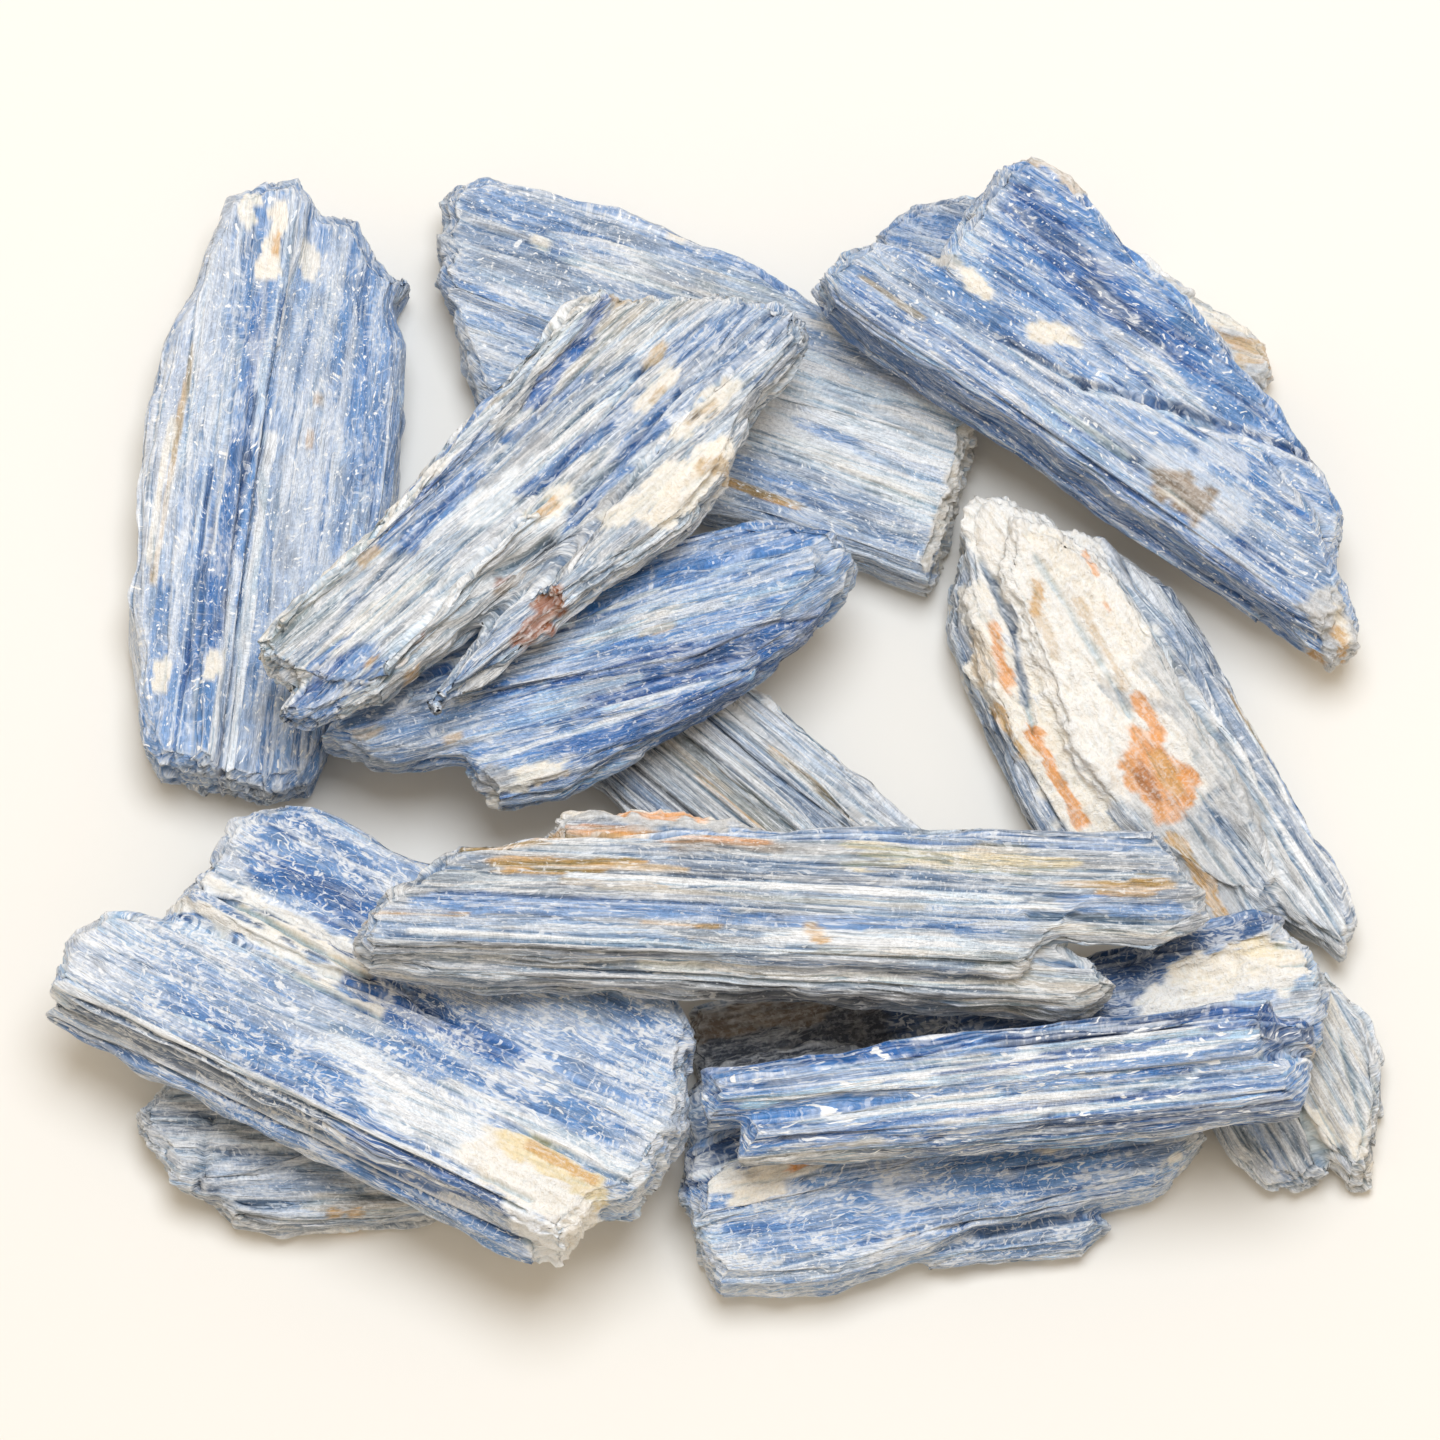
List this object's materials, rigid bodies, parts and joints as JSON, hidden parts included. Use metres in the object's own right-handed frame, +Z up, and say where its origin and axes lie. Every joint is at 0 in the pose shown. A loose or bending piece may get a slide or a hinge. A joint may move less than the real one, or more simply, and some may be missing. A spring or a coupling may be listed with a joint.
{
  "type": "kyanite blade cluster",
  "caption": "Heap of rough, flat kyanite blades lying across each other, streaked blue, white and grey along the grain, with crusts of white and rust-stained quartz.",
  "frame": {"origin": "centre of the cluster's footprint box, on the surface that the lowest blades lie on", "axes": "+Z up from that surface; +X to the right and +Y away, for someone who looks down on the cluster with the long blade across its front"},
  "size_m": [0.1184, 0.1042, 0.0247],
  "materials": {
    "kyanite_blue": "silky, strongly streaked along the grain, vitreous to pearly sheen",
    "kyanite_pale": "pale blue and white streaks along the grain, pearly sheen",
    "kyanite_grey": "grey and grey-blue fibres, silky to dull",
    "quartz_crust": "sugary white and cream quartz with rust stains, dull to glassy grains"
  },
  "bodies": {
    "root": {"lower_left_under_blade": "kyanite_grey", "bottom_blade": "kyanite_blue", "lower_right_blade": "kyanite_grey", "slanting_grey_blade": "kyanite_grey", "left_blade": "kyanite_pale", "upper_back_blade": "kyanite_pale", "hidden_back_blade": "kyanite_grey", "quartz_blade": "quartz_crust", "fan_blade": "kyanite_blue", "front_blue_blade": "kyanite_blue", "centre_blue_blade": "kyanite_blue", "top_right_blade": "kyanite_blue", "lower_left_blade": "kyanite_pale", "centre_blade": "kyanite_pale", "long_front_blade": "kyanite_grey"}
  },
  "joints": []
}
